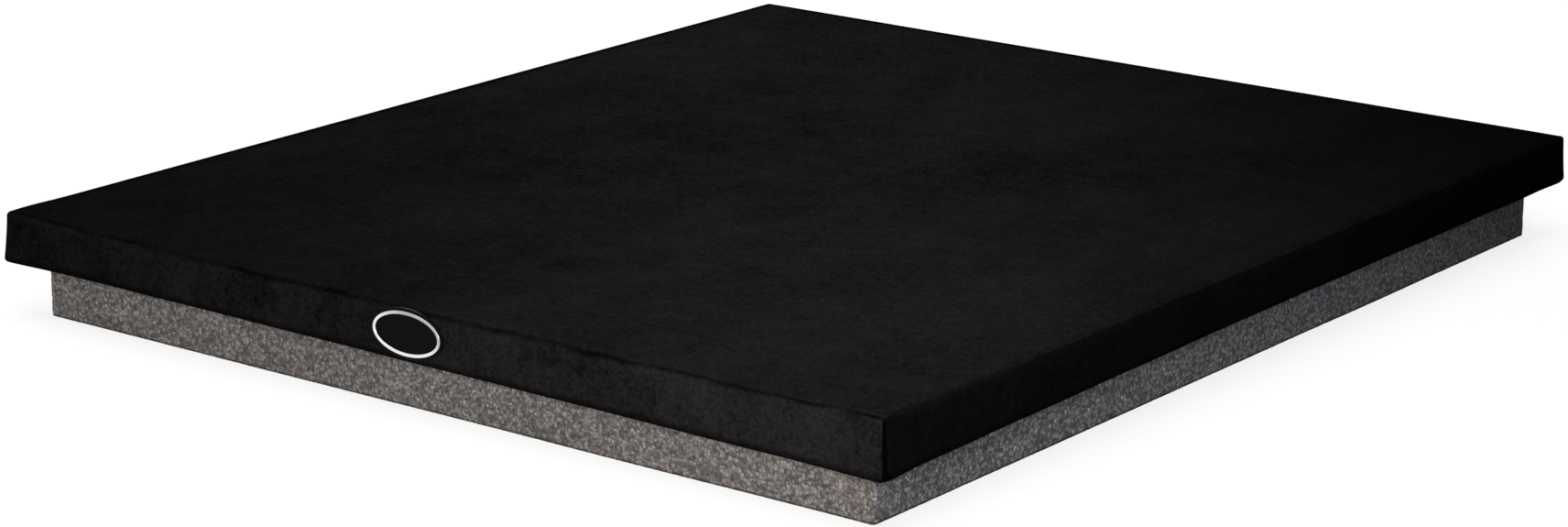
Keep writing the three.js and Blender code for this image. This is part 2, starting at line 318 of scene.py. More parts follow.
@dataclass(frozen=True)
class Velour:
    """Black cut-pile velour: nearly no base colour, a soft grey sheen, a smudged nap, and painted light and
    shade by side, by place and along its edges.
    """

    nap: Colour = (0.0106, 0.0099, 0.0104)
    # Colour of the painted shade along the cover's edges and in its pleat grooves.
    edge_shade_colour: Colour = (0.0012, 0.001, 0.001)
    sheen: float = 0.008
    sheen_colour: Colour = (0.85, 0.82, 0.85)
    sheen_roughness: float = 0.5
    pile_height: float = 0.0004
    tuft_size: float = 0.00055
    smudge_height: float = 0.0001
    # Painted light on the -Y side and painted shade on the X sides.
    front_light_paint: float = 1.3
    side_shade_paint: float = 0.42
    # Painted shade towards two corners and at the far end of the +X side, less on the front face.
    right_corner_shade: float = 0.06
    left_corner_shade: float = 0.38
    shaded_end: float = 0.03
    front_kept: float = 0.22
    smudging: float = 0.5
    fuzz: float = 0.62
    tufting: float = 0.24
    combing: float = 0.2
    blotching: tuple[float, float] = (-0.22, 0.26)
    speckling: tuple[float, float] = (0.72, 1.22)
    diagonal_rates: tuple[float, float] = (2.2, 1.9)
    right_shade_over: tuple[float, float] = (0.15, 1.0)
    left_shade_over: tuple[float, float] = (-1.0, -0.15)
    end_shaded_over: tuple[float, float] = (0.012, 0.058)
    roughness: tuple[float, float] = (0.95, 0.88)

    def material(self, effects: Effects) -> bpy.types.Material:
        """Builds the velour's material."""
        material, graph, shader = new_material("velour")
        wide = effects.smudges(graph, Scale=9.0, Stretch_Y=0.6, Cut=0.42)
        small = effects.smudges(graph, Scale=46.0, Stretch_Y=1.3, Cut=0.4)
        fuzz = effects.smudges(graph, Scale=620.0, Cut=0.4)
        clumps = effects.smudges(graph, Scale=260.0, Cut=0.4)
        combed = effects.smudges(graph, Scale=190.0, Stretch_Z=0.18, Cut=0.4)
        tufts = effects.fibre_height(graph, self.tuft_size, 0.5)
        smudges = graph.remap(wide, UNIT, (1.0 - self.smudging, 1.0 + 0.6 * self.smudging))
        level = graph.math("ADD", smudges, graph.remap(small, UNIT, self.blotching))
        for mark, share in ((fuzz, self.fuzz), (clumps, self.tufting), (combed, self.combing)):
            level = graph.math("ADD", level, graph.remap(mark, UNIT, (-share, share)))
        # Painted light on the -Y side and painted shade on the X sides.
        level = graph.math("MULTIPLY", level, self.painted_side_light(graph))
        # Painted shade towards two corners and at the +X side's far end.
        level = graph.math("MULTIPLY", level, self.painted_falloff(graph))
        speckle = graph.remap(tufts, (0.1, 0.6), self.speckling)
        nap = graph.shade(graph.math("MULTIPLY", level, speckle), self.nap)
        # Painted shade along the edges and in the pleat grooves, read from the mesh.
        edge_shade = graph.add("Attribute", set_attribute_name="painted_edge_shade").outputs["Fac"]
        smudge = graph.math("MULTIPLY", small, self.smudge_height / self.pile_height)
        height = graph.math("ADD", tufts, smudge)
        graph.feed_all(
            shader,
            Base_Color=graph.blend(edge_shade, nap, self.edge_shade_colour),
            Normal=graph.bump(0.8, self.pile_height, height),
            Roughness=graph.remap(small, UNIT, self.roughness),
            Specular_IOR_Level=0.0,
            Sheen_Weight=self.sheen,
            Sheen_Roughness=self.sheen_roughness,
            Sheen_Tint=self.sheen_colour,
        )
        return material

    def painted_side_light(self, graph: Graph) -> bpy.types.NodeSocket:
        """Painted light and shade by the side that a face is on: lighter on the -Y side, darker on the X
        sides.
        """
        facing = graph.facing()
        front = graph.remap(facing["Y"], (-0.8, -0.2), (self.front_light_paint, 1.0))
        across = graph.remap(graph.math("ABSOLUTE", facing["X"]), (0.5, 0.96), (1.0, self.side_shade_paint))
        return graph.math("MULTIPLY", front, across)

    def painted_falloff(self, graph: Graph) -> bpy.types.NodeSocket:
        """Painted shade by place: darker towards two of the corners, and towards the far end of the +X
        side.
        """
        place, facing = graph.place(), graph.facing()
        across = graph.math("MULTIPLY", place["X"], self.diagonal_rates[0])
        along = graph.math("MULTIPLY", place["Y"], self.diagonal_rates[1])
        diagonal = graph.math("ADD", across, along)
        right = graph.remap(diagonal, self.right_shade_over, (1.0, self.right_corner_shade))
        left = graph.remap(diagonal, self.left_shade_over, (self.left_corner_shade, 1.0))
        end = graph.math("MULTIPLY", place["X"], place["Y"])
        far = graph.remap(end, self.end_shaded_over, (1.0, self.shaded_end))
        front = graph.remap(facing["Y"], (-0.9, -0.5), (self.front_kept, 0.0))
        lost = graph.math("SUBTRACT", 1.0, left)
        left = graph.math("ADD", left, graph.math("MULTIPLY", front, lost))
        outward = graph.remap(facing["X"], (0.6, 0.95), UNIT)
        kept = graph.math("SUBTRACT", 1.0, outward)
        ends = graph.math("ADD", kept, graph.math("MULTIPLY", outward, far))
        return graph.math("MULTIPLY", graph.math("MULTIPLY", right, left), ends)


@dataclass(frozen=True)
class SpeckledFoam:
    """Grey open-cell foam: cut cells of many tones, pits darkened with painted shade, pale specks painted
    as glints, and a few warm specks.
    """

    dark: Colour = (0.098, 0.097, 0.097)
    pale: Colour = (0.73, 0.725, 0.72)
    # Pale specks painted as glints of cell membranes, brighter on the +X side.
    glint_colour: Colour = (0.88, 0.87, 0.86)
    warm: Colour = (0.36, 0.25, 0.21)
    # Colour of the painted shade in the pits.
    pit_shade: Colour = (0.052, 0.05, 0.049)
    cell_size: float = 0.0014
    glint_size: float = 0.0018
    glint_share: float = 0.34
    right_glint_gain: float = 1.13
    # Painted light: warmer on the lit faces, cooler on the +X side in shade.
    warm_light_tint: Colour = (1.06, 1.015, 0.99)
    cool_shade_tint: Colour = (0.98, 1.0, 1.08)
    relief: float = 0.0008
    # Painted shade along the foam's foot, strongest on the +X side.
    foot_shade: tuple[float, float] = (0.3, 0.05)
    foot_shade_height: tuple[float, float] = (0.4 * MM, 1.4 * MM)
    shaded_end: float = 0.2
    end_shaded_over: tuple[float, float] = (-0.15, 0.25)
    warming: float = 0.3
    pit_shading: float = 0.55
    roughness: tuple[float, float] = (0.95, 0.8)

    def material(self, effects: Effects) -> bpy.types.Material:
        """Builds the foam's material."""
        material, graph, shader = new_material("speckled_foam")
        cells = effects.grains.use(graph, Cell_Size=self.cell_size)
        glint_cells = effects.grains.use(graph, Cell_Size=self.glint_size)
        fibre = effects.fibre_height(graph, self.cell_size / 3, 0.6)
        patch = effects.smudges(graph, Scale=38.0, Cut=0.4)
        grain = graph.math("MULTIPLY", cells.outputs["Tone"], 0.62)
        tone = graph.math("ADD", grain, graph.remap(fibre, (0.0, 0.7), (-0.05, 0.5)))
        body = graph.blend(tone, self.dark, self.pale)
        warmth = graph.remap(patch, (0.55, 1.0), (0.0, self.warming))
        warmth = graph.math("MULTIPLY", warmth, cells.outputs["Chance"])
        body = graph.blend(warmth, body, self.warm)
        # Painted shade in the pits that the bump dips into.
        pits = graph.math("MULTIPLY", cells.outputs["Pits"], self.pit_shading)
        body = graph.blend(pits, body, self.pit_shade)
        # Painted glints on pale specks, brighter where the +X side catches the light.
        glint = graph.remap(glint_cells.outputs["Chance"], (1.0 - self.glint_share, 1.0), UNIT)
        glint = graph.math("POWER", glint, 2.2)
        core = graph.remap(glint_cells.outputs["Pits"], (0.0, 0.3), (1.0, 0.0))
        light = graph.remap(self.outward(graph), UNIT, (1.0, self.right_glint_gain))
        bright = graph.shade(light, self.glint_colour)
        body = graph.blend(graph.math("MULTIPLY", glint, core), body, bright)
        height = graph.math("SUBTRACT", fibre, graph.math("MULTIPLY", cells.outputs["Pits"], 0.9))
        # Painted light tint: warm on the lit faces, cool on the shaded +X side.
        painted_light_tint = graph.blend(self.outward(graph), self.warm_light_tint, self.cool_shade_tint)
        painted_body = graph.add("VectorMath", set_operation="MULTIPLY")
        graph.feed(painted_body, 0, graph.shade(self.painted_foam_shade(graph), body))
        graph.feed(painted_body, 1, painted_light_tint)
        graph.feed_all(
            shader,
            Base_Color=painted_body.outputs[0],
            Normal=graph.bump(0.9, self.relief, height),
            Roughness=graph.remap(cells.outputs["Tone"], UNIT, self.roughness),
            Specular_IOR_Level=0.2,
        )
        return material

    def outward(self, graph: Graph) -> bpy.types.NodeSocket:
        """1 on the +X side, whose torn cells catch the light most, and 0 elsewhere."""
        return graph.remap(graph.facing()["X"], (0.5, 0.9), UNIT)

    def painted_foam_shade(self, graph: Graph) -> bpy.types.NodeSocket:
        """Painted shade by place: a dark line along the foam's foot, and darker towards one end of the +X
        side.
        """
        place, outward = graph.place(), self.outward(graph)
        # A dark line of painted shade along the foot, strongest on the +X side.
        least = graph.remap(outward, UNIT, self.foot_shade)
        above_foot_shade = graph.remap(place["Z"], self.foot_shade_height, UNIT)
        rest = graph.math("MULTIPLY", above_foot_shade, graph.math("SUBTRACT", 1.0, least))
        foot = graph.math("ADD", least, rest)
        # Painted shade: darker towards the +Y end of the +X side.
        lost = graph.remap(place["Y"], self.end_shaded_over, UNIT)
        lost = graph.math("MULTIPLY", graph.math("MULTIPLY", lost, lost), 1.0 - self.shaded_end)
        lost = graph.math("MULTIPLY", lost, outward)
        return graph.math("MULTIPLY", foot, graph.math("SUBTRACT", 1.0, lost))


@dataclass(frozen=True)
class BrightRim:
    """Polished metal of the badge's rim, with fine handling marks, and painted shade towards its upper
    right.
    """

    colour: Colour = (0.84, 0.84, 0.86)
    polish: tuple[float, float] = (0.16, 0.3)
    # Painted shade towards the rim's upper right.
    top_shade_level: float = 0.55
    top_shaded_over: tuple[float, float] = (34 * MM, 43 * MM)
    top_shade_slant: float = 0.4

    def material(self, effects: Effects) -> bpy.types.Material:
        """Builds the rim's material."""
        material, graph, shader = new_material("bright_rim")
        marks = effects.smudges(graph, Scale=420.0, Stretch_Z=3.0, Cut=0.4)
        scratch = effects.fibre_height(graph, 0.0003, 0.3)
        dulling = graph.remap(marks, UNIT, (1.0, 0.93))
        place = graph.place()
        # Painted shade: the rim darkens towards its upper right; dulling carries the handling marks and
        # this shade.
        slant = graph.math("ADD", graph.math("MULTIPLY", place["X"], self.top_shade_slant), place["Z"])
        top_shade = graph.remap(slant, self.top_shaded_over, (1.0, self.top_shade_level))
        dulling = graph.math("MULTIPLY", dulling, top_shade)
        graph.feed_all(
            shader,
            Base_Color=graph.shade(dulling, self.colour),
            Normal=graph.bump(0.12, 0.00003, scratch),
            Roughness=graph.remap(marks, UNIT, self.polish),
            Metallic=1.0,
        )
        return material


@dataclass(frozen=True)
class BlackEnamel:
    """Black enamel of the badge's border and plain field, with a soft orange-peel gloss."""

    colour: Colour = (0.0022, 0.0022, 0.0026)
    gloss: tuple[float, float] = (0.32, 0.5)

    def material(self, effects: Effects) -> bpy.types.Material:
        """Builds the enamel's material."""
        material, graph, shader = new_material("black_enamel")
        cloud = effects.smudges(graph, Scale=260.0, Cut=0.4)
        depth = graph.remap(cloud, UNIT, (0.8, 1.25))
        graph.feed_all(
            shader,
            Base_Color=graph.shade(depth, self.colour),
            Normal=graph.bump(0.2, 0.00004, cloud),
            Roughness=graph.remap(cloud, UNIT, self.gloss),
            Specular_IOR_Level=0.03,
        )
        return material


@dataclass(frozen=True)
class Fibreboard:
    """Bare pressed fibreboard: tan, with short dark and pale fibres."""

    tan: Colour = (0.33, 0.2, 0.1)
    pale: Colour = (0.5, 0.35, 0.2)

    def material(self, effects: Effects) -> bpy.types.Material:
        """Builds the board's material."""
        material, graph, shader = new_material("fibreboard")
        cloud = effects.smudges(graph, Scale=30.0, Stretch_Y=2.5, Cut=0.4)
        fibre = effects.fibre_height(graph, 0.0009, 0.5)
        strands = graph.remap(fibre, (0.0, 0.6), (0.0, 0.7))
        mixed = graph.math("ADD", strands, graph.remap(cloud, UNIT, (0.0, 0.3)))
        graph.feed_all(
            shader,
            Base_Color=graph.blend(mixed, self.tan, self.pale),
            Normal=graph.bump(0.4, 0.0002, fibre),
            Roughness=graph.remap(fibre, (0.0, 0.6), (0.75, 0.92)),
        )
        return material


@dataclass(frozen=True)
class ZincWire:
    """Zinc-plated staple wire, drawn lines along it and a dull bloom."""

    colour: Colour = (0.5, 0.51, 0.53)

    def material(self, effects: Effects) -> bpy.types.Material:
        """Builds the wire's material."""
        material, graph, shader = new_material("zinc_wire")
        bloom = effects.smudges(graph, Scale=600.0, Cut=0.4)
        drawn = effects.fibre_height(graph, 0.0002, 0.3)
        dulling = graph.remap(bloom, UNIT, (0.8, 1.1))
        graph.feed_all(
            shader,
            Base_Color=graph.shade(dulling, self.colour),
            Normal=graph.bump(0.25, 0.00003, drawn),
            Roughness=graph.remap(bloom, UNIT, (0.28, 0.5)),
            Metallic=1.0,
        )
        return material


@dataclass
class RoundedPlan:
    """A rectangle with rounded corners in plan, as stations that every ring of a piece shares."""

    half_x: float
    half_y: float
    corner: float
    fine: float
    coarse: float
    growth: float = 1.18
    arc_steps: int = 10
    least_corner: float = 0.0006
    spread: float = 0.35
    spread_from: float = 0.008
    along: np.ndarray = field(init=False)
    normal: np.ndarray = field(init=False)
    from_corner: np.ndarray = field(init=False)
    sides: list[Side] = field(init=False)

    def __post_init__(self) -> None:
        """Places the stations once round, anticlockwise from the start of the +X side."""
        along, normal, away = [], [], []
        self.sides = []
        order = list(Side)
        for side, following in zip(order, order[1:] + order[:1]):
            nx, ny = side.value
            half = self.half_y if nx else self.half_x
            for t in self.side(half - self.corner):
                along.append((nx - t * ny, ny + t * nx))
                normal.append((nx, ny))
                away.append((1 - abs(t)) * (half - self.corner))
                self.sides.append(side)
            start = math.atan2(ny, nx)
            for step in range(1, self.arc_steps):
                angle = start + step / self.arc_steps * math.pi / 2
                along.append((nx - ny, ny + nx))
                normal.append((math.cos(angle), math.sin(angle)))
                away.append(0.0)
                self.sides.append(side if step < self.arc_steps / 2 else following)
        self.along = np.array(along, float)
        self.normal = np.array(normal, float)
        self.from_corner = np.array(away, float)

    def side(self, half: float) -> list[float]:
        """Places along one straight side, close together at its ends.

        Args:
            half: Half the straight side's length.

        Returns:
            Shares of that half length, from -1 to 1.
        """
        gaps, step, total = [], self.fine, 0.0
        while total < half:
            gaps.append(step)
            total += step
            step = min(step * self.growth, self.coarse)
        gaps = np.array(gaps) * half / total
        ends = np.concatenate([[0.0], np.cumsum(gaps)]) / half - 1.0
        return [*ends, *(-ends[-2::-1])]

    def ring(self, inset: np.ndarray | float, level: np.ndarray | float) -> np.ndarray:
        """The places of one ring.

        Args:
            inset: How far the ring lies inside the plan's edge, for all or each station.
            level: The ring's height, for all or each station.

        Returns:
            One place per station.
        """
        inset = np.broadcast_to(np.asarray(inset, float), self.from_corner.shape)
        radius = np.maximum(self.corner - inset, self.least_corner)
        radius = np.maximum(radius, self.spread * (inset - self.spread_from))
        reach = np.stack([self.half_x - inset - radius, self.half_y - inset - radius], axis=1)
        flat = np.clip(self.along, -1, 1) * reach + self.normal * radius[:, None]
        return np.column_stack([flat, np.broadcast_to(level, self.from_corner.shape)])

    def deepest(self) -> float:
        """The largest inset that a ring can have."""
        return (self.half_x + self.spread * self.spread_from) / (1 + self.spread) - 0.5 * MM

    def on_x_side(self) -> np.ndarray:
        """True for each station whose side faces along X."""
        return np.abs(self.normal[:, 0]) > 0.75

    def by_side(self, values: dict[Side, float]) -> np.ndarray:
        """The value of each station's own side."""
        return np.array([values[side] for side in self.sides])


def mesh_of_rings(name: str, rings: Sequence[np.ndarray], capped: bool) -> bpy.types.Mesh:
    """Joins rings of places into one closed mesh.

    Args:
        name: The mesh's name.
        rings: The rings in order, each with as many places.
        capped: True to close the first and last rings with one face each, and False to join the
            last ring to the first.

    Returns:
        The mesh, with its faces pointing out.
    """
    count = len(rings[0])
    points = np.concatenate(rings)
    here = np.arange(count)
    after = (here + 1) % count
    faces: list[Sequence[int]] = []
    last = len(rings) - 1 if capped else len(rings)
    for i in range(last):
        low, high = i * count, (i + 1) % len(rings) * count
        faces += np.column_stack([here + low, after + low, after + high, here + high]).tolist()
    if capped:
        faces.append(here[::-1].tolist())
        faces.append((here + (len(rings) - 1) * count).tolist())
    mesh = bpy.data.meshes.new(name)
    mesh.from_pydata(points.tolist(), [], faces)
    tidy = bmesh.new()
    tidy.from_mesh(mesh)
    bmesh.ops.recalc_face_normals(tidy, faces=tidy.faces)
    tidy.to_mesh(mesh)
    tidy.free()
    mesh.update()
    return mesh


def linked(name: str, data: bpy.types.ID) -> bpy.types.Object:
    """A new object in the scene, with its mesh, lamp or camera."""
    item = bpy.data.objects.new(name, data)
    bpy.context.scene.collection.objects.link(item)
    return item


def piece_of(
    mesh: bpy.types.Mesh, material: bpy.types.Material, nodes: Sequence[str]
) -> bpy.types.Object:
    """Makes a mesh a piece of the pad.

    Args:
        mesh: The piece's mesh, in the pad's frame.
        material: Its finish.
        nodes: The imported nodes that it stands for.

    Returns:
        The piece's object, riding on the pad's one body.
    """
    piece = linked(mesh.name, mesh)
    mesh.materials.append(material)
    mesh.polygons.foreach_set("use_smooth", [True] * len(mesh.polygons))
    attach(piece, BODY)
    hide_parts(*nodes)
    return piece


@dataclass(frozen=True)
class Ripple:
    """Smooth noise: the length over which it changes, and a seed that tells two of them apart."""

    size: float
    seed: float

    def at(self, places: np.ndarray) -> np.ndarray:
        """The noise at each place, from about -1 to 1."""
        shift = Vector((self.seed, 2.0 * self.seed, 3.0 * self.seed))
        return np.array([noise.noise(Vector(p) / self.size + shift) for p in places])


def bell(distance: np.ndarray, width: np.ndarray | float) -> np.ndarray:
    """1 where the distance is 0, falling smoothly to nearly 0 at twice the width."""
    return np.exp(-((distance / width) ** 2))


def fade(distance: np.ndarray, reach: float) -> np.ndarray:
    """1 where the distance is 0, falling evenly to 0 at the reach."""
    return np.clip(1 - distance / reach, 0, 1)


@dataclass
class VelourCover:
    """The cloth that is wrapped over the board, pleated at its corners and turned under."""

    node: str = "velour_cover"
    thickness: float = 1.0 * MM
    slack: float = 0.2 * MM
    hem_width: float = 37.2 * MM
    corner: float = 1.5 * MM
    soft_right: float = 6.0 * MM
    soft_front: float = 4.2 * MM
    soft_behind: float = 1.9 * MM
    tight_edge: float = 1.7 * MM
    edge_softening: float = 40.0 * MM
    lower_edge: float = 2.2 * MM
    corner_rise: float = 1.0 * MM
    rise_place: float = 15.0 * MM
    corner_flare: float = 1.3 * MM
    left_flare: float = 2.1 * MM
    flare_reach: float = 17.0 * MM
    hem_sag: float = 0.5 * MM
    front_droop: float = 2.6 * MM
    droop_along_front: float = 400.0 * MM
    droop_along_right: float = 260.0 * MM
    droop_curve: float = 1.15
    droop_room: float = 10.5 * MM
    droop_full: float = 3.0 * MM
    back_lift: float = 0.7 * MM
    lift_reach: float = 32.0 * MM
    pleat_setback: float = 3.2 * MM
    pleat_length: float = 26.0 * MM
    pleat_proud: float = 0.6 * MM
    pleat_lip: float = 0.5 * MM
    groove_depth: float = 0.9 * MM
    groove_width: float = 2.6 * MM
    pull_depth: float = 0.22 * MM
    pull_spacing: float = 71.0 * MM
    nap_swell: float = 0.07 * MM
    crease_height: float = 0.1 * MM
    crease_reach: float = 46.0 * MM
    crease_from: float = 14.0 * MM
    crease_end: float = 0.12
    crease_folds: float = 9.0
    flat_corner: float = 8.0 * MM
    inner_turn: float = 1.8 * MM
    flat_from: float = 6.5 * MM
    edge_gaps: tuple[float, ...] = (4.5 * MM, 2.6 * MM, 1.0 * MM)
    tight_corner: float = 11.0 * MM
    side_reach: float = 3.0 * MM
    edge_wander: Ripple = Ripple(60 * MM, 4.1)
    edge_shade_breaks: Ripple = Ripple(22 * MM, 9.3)
    edge_shade_wander: Ripple = Ripple(13 * MM, 5.9)
    wide_swells: Ripple = Ripple(34 * MM, 1.7)
    small_swells: Ripple = Ripple(11 * MM, 6.2)
    flat_cut: tuple[float, float] = (0.565, 0.635)
    edge_steps: int = 10
    side_steps: int = 11
    plan: RoundedPlan = field(init=False)
    low: float = field(init=False)
    high: float = field(init=False)

    def __post_init__(self) -> None:
        """Takes the cover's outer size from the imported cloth, less its pleats."""
        lowest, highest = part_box(self.node)
        core_low, core_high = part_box("board_core")
        wrap = self.thickness + self.slack
        self.low, self.high = lowest[2], highest[2]
        self.plan = RoundedPlan(
            half_x=(core_high[0] - core_low[0]) / 2 + wrap,
            half_y=(core_high[1] - core_low[1]) / 2 + wrap,
            corner=self.corner,
            fine=0.35 * MM,
            coarse=4.5 * MM,
        )

    def upper_edge(self) -> np.ndarray:
        """The roundness of the upper edge at each station: tight at the corners, softer between."""
        plan = self.plan
        soft = plan.by_side(
            {
                Side.RIGHT: self.soft_right,
                Side.BACK: self.soft_behind,
                Side.LEFT: self.soft_behind,
                Side.FRONT: self.soft_front,
            }
        )
        near = self.near_corner()
        wander = self.edge_wander.at(plan.ring(0.0, self.high)) * 0.1 * soft
        return soft + (self.tight_edge - soft) * near + wander * (1 - near)

    def near_corner(self) -> np.ndarray:
        """How near each station is to a corner, from 1 at the corner to 0 far away."""
        return np.exp(-self.plan.from_corner / self.edge_softening)

    def depth(self, places: np.ndarray) -> np.ndarray:
        """How far down the cloth each place is, from 0 at the top to 1 at the hem."""
        return np.clip((self.high - places[:, 2]) / (self.high - self.low), 0, 1)

    def droop(self, places: np.ndarray) -> np.ndarray:
        """How far the loose lower edge hangs below the board at each place.

        Args:
            places: Places on the cloth.

        Returns:
            The drop, most at the front right corner, and a small lift at the back right one.
        """
        from_right = self.plan.half_x - places[:, 0]
        from_front = places[:, 1] + self.plan.half_y
        from_back = self.plan.half_y - places[:, 1]
        hang = fade(from_right, self.droop_along_front) * fade(from_front, self.droop_along_right)
        lift = fade(from_right, self.lift_reach) * fade(from_back, self.lift_reach)
        return self.hem_sag + self.front_droop * hang**self.droop_curve - self.back_lift * lift

    def outer_rings(self) -> list[tuple[np.ndarray, np.ndarray]]:
        """The outer face of the cloth, from the middle of the top to the hem's raw edge.

        Returns:
            Each ring with how much painted shade darkens its pile at every station.
        """
        plan, soft = self.plan, self.upper_edge()
        none = np.zeros_like(plan.from_corner)
        middle = plan.ring(plan.deepest(), self.high)
        shares = np.linspace(0.03, 1.0, 15)[:-1]
        rings = [(middle * (share, share, 1.0), none) for share in shares]
        edge = soft + self.flat_from
        for share in np.linspace(1.0, 0.0, 30) ** 1.35:
            rings.append((plan.ring(edge + share * (plan.deepest() - edge), self.high), none))
        # A dark line of painted shade along the upper edge.
        line, centre, width = self.edge_shade_line()
        for gap in self.edge_gaps:
            edge_shade = line * bell(gap / soft + centre, width)
            rings.append((plan.ring(soft + gap, self.high), edge_shade))
        for step in range(self.edge_steps + 1):
            angle = step / self.edge_steps * math.pi / 2
            inset, drop = soft * (1 - math.sin(angle)), soft * (1 - math.cos(angle))
            edge_shade = line * bell(angle - centre, width)
            rings.append((plan.ring(inset, self.high - drop), edge_shade))
        bottom = self.low + self.lower_edge
        for step in range(1, self.side_steps):
            share = step / self.side_steps
            level = (self.high - soft) * (1 - share) + bottom * share
            rings.append((plan.ring(0.0, level), none))
        for step in range(self.edge_steps // 2 + 1):
            angle = step / (self.edge_steps // 2) * math.pi / 2
            inset = self.lower_edge * (1 - math.cos(angle))
            level = self.low + self.lower_edge * (1 - math.sin(angle))
            # The lower edge's underside gets painted shade, deepest underneath.
            rings.append((plan.ring(inset, level), none + 0.5 + 0.5 * math.sin(angle)))
        for inset in np.linspace(self.lower_edge, self.hem_width, 7)[1:]:
            rings.append((plan.ring(inset, self.low), none))
        return rings

    def edge_shade_line(self) -> tuple[np.ndarray, np.ndarray, np.ndarray]:
        """Where a line of painted shade runs along the upper edge.

        Returns:
            How dark the painted shade is at each station, how far round the edge it lies, and its width.
        """
        plan = self.plan
        depth = {Side.RIGHT: 0.2, Side.BACK: 2.2, Side.LEFT: 2.2, Side.FRONT: 1.0}
        place = {Side.RIGHT: 0.82, Side.BACK: 0.2, Side.LEFT: 0.2, Side.FRONT: 0.82}
        width = {Side.RIGHT: 0.3, Side.BACK: 1.6, Side.LEFT: 1.6, Side.FRONT: 0.3}
        edge = plan.ring(0.0, self.high)
        line = np.clip(0.75 + 0.5 * self.edge_shade_breaks.at(edge), 0, 1) * plan.by_side(depth)
        wander = 0.25 * self.edge_shade_wander.at(edge)
        centre = plan.by_side(place) * (1 - 0.4 * self.near_corner()) + wander
        return line, centre, plan.by_side(width)

    def inner_rings(self) -> list[np.ndarray]:
        """The back of the cloth, from the hem's raw edge to the middle of the top."""
        plan, turn, back = self.plan, self.inner_turn, self.thickness
        low, high = self.low + back, self.high - back
        rings = [plan.ring(self.hem_width, low), plan.ring(back + turn, low)]
        for angle in np.linspace(0, math.pi / 2, 4)[1:]:
            rise = turn * (1 - math.cos(angle))
            rings.append(plan.ring(back + turn * (1 - math.sin(angle)), low + rise))
        for angle in np.linspace(0, math.pi / 2, 4):
            drop = turn * (1 - math.sin(angle))
            rings.append(plan.ring(back + turn * (1 - math.cos(angle)), high - drop))
        rings.append(plan.ring(plan.deepest(), high))
        return rings

    def pleated(self, places: np.ndarray) -> tuple[np.ndarray, np.ndarray]:
        """Lays the pleats on the two X sides.

        Args:
            places: One ring of the cloth's outer face.

        Returns:
            How far each place moves out, and how much painted shade darkens the fold's groove.
        """
        plan = self.plan
        fold = plan.half_y - self.pleat_setback - np.abs(places[:, 1])
        depth = self.depth(places)
        lip = np.clip(fold / self.pleat_lip + 0.5, 0, 1)
        lie = fade(fold, self.pleat_length) ** 1.4
        swell = self.pleat_proud * (0.35 + 0.65 * depth) * lip * lie
        groove = bell(fold + 0.55 * self.groove_width, 0.6 * self.groove_width)
        shown = plan.on_x_side() * np.clip(depth * 9, 0, 1)
        # The second value is painted shade in the groove.
        return (swell - self.groove_depth * groove) * shown, groove * shown

    def displaced(self, places: np.ndarray, outward: np.ndarray) -> np.ndarray:
        """Gives a ring of the outer face the cloth's small swells, pulls and creases.

        Args:
            places: The ring.
            outward: 0 where the ring lies on the top or the hem, and 1 on the side.

        Returns:
            The ring as it lies on the pad.
        """
        plan = self.plan
        moved = places.copy()
        wide, small = self.wide_swells.at(places), self.small_swells.at(places)
        edge = bell(plan.from_corner, self.tight_corner)
        depth = self.depth(places)
        run = np.where(plan.on_x_side(), places[:, 1], places[:, 0])
        pull = np.cos(2 * math.pi * run / self.pull_spacing) * self.pull_depth * depth * (1 - edge)
        side = pull + self.nap_swell * (0.7 * wide + 0.5 * small) * (1 - edge)
        fold, _ = self.pleated(places)
        bulk = bell(plan.from_corner, self.flare_reach)
        flare = np.where(places[:, 0] < 0, self.left_flare, self.corner_flare) * bulk * depth**1.5
        moved[:, :2] += plan.normal * ((side + fold + flare) * outward)[:, None]
        inset = (np.array([plan.half_x, plan.half_y]) - np.abs(places[:, :2])).min(axis=1)
        loose = np.clip((self.droop_room - inset) / (self.droop_room - self.droop_full), 0, 1)
        under = depth**1.2 * (places[:, 2] < self.high - self.tight_edge)
        moved[:, 2] -= self.droop(places) * loose * under
        corner = np.abs(places[:, :2]) - np.array([plan.half_x, plan.half_y])
        away = np.hypot(corner[:, 0], corner[:, 1])
        turn = np.arctan2(-corner[:, 1], -corner[:, 0])
        crease = np.cos(turn * self.crease_folds) * bell(away - self.crease_from, self.crease_reach)
        bunched = self.corner_rise * bell(away - self.rise_place, self.rise_place)
        bunched = bunched * fade(places[:, 1] + plan.half_y, self.crease_reach)
        top = self.nap_swell * (wide + 0.4 * small) + self.crease_height * crease * (away < self.crease_end)
        over = (1 - outward) * (places[:, 2] > (self.low + self.high) / 2)
        moved[:, 2] += (top * np.clip(away / self.flat_corner, 0, 1) + bunched) * over
        return moved

    def build(self, material: bpy.types.Material) -> bpy.types.Object:
        """Makes the cloth.

        Args:
            material: The velour.

        Returns:
            The cover's piece.
        """
        edge = self.plan.ring(0.0, 0.0)[:, :2]
        lying, marks = [], []
        for ring, edge_shade in self.outer_rings():
            outward = fade(np.abs(edge - ring[:, :2]).max(axis=1), self.side_reach)
            lying.append(self.displaced(ring, outward))
            marks.append(edge_shade + self.pleated(ring)[1] * outward)
        inner = self.inner_rings()
        mesh = mesh_of_rings(self.node.replace("cover", "cloth"), [*lying, *inner], capped=True)
        values = np.zeros(len(mesh.vertices))
        values[: sum(map(len, marks))] = np.concatenate(marks)
        # Stores the painted shade per point, for the velour's material.
        layer = mesh.attributes.new("painted_edge_shade", "FLOAT", "POINT")
        layer.data.foreach_set("value", np.clip(values, 0, 1))
        piece = piece_of(mesh, material, [self.node])
        return piece


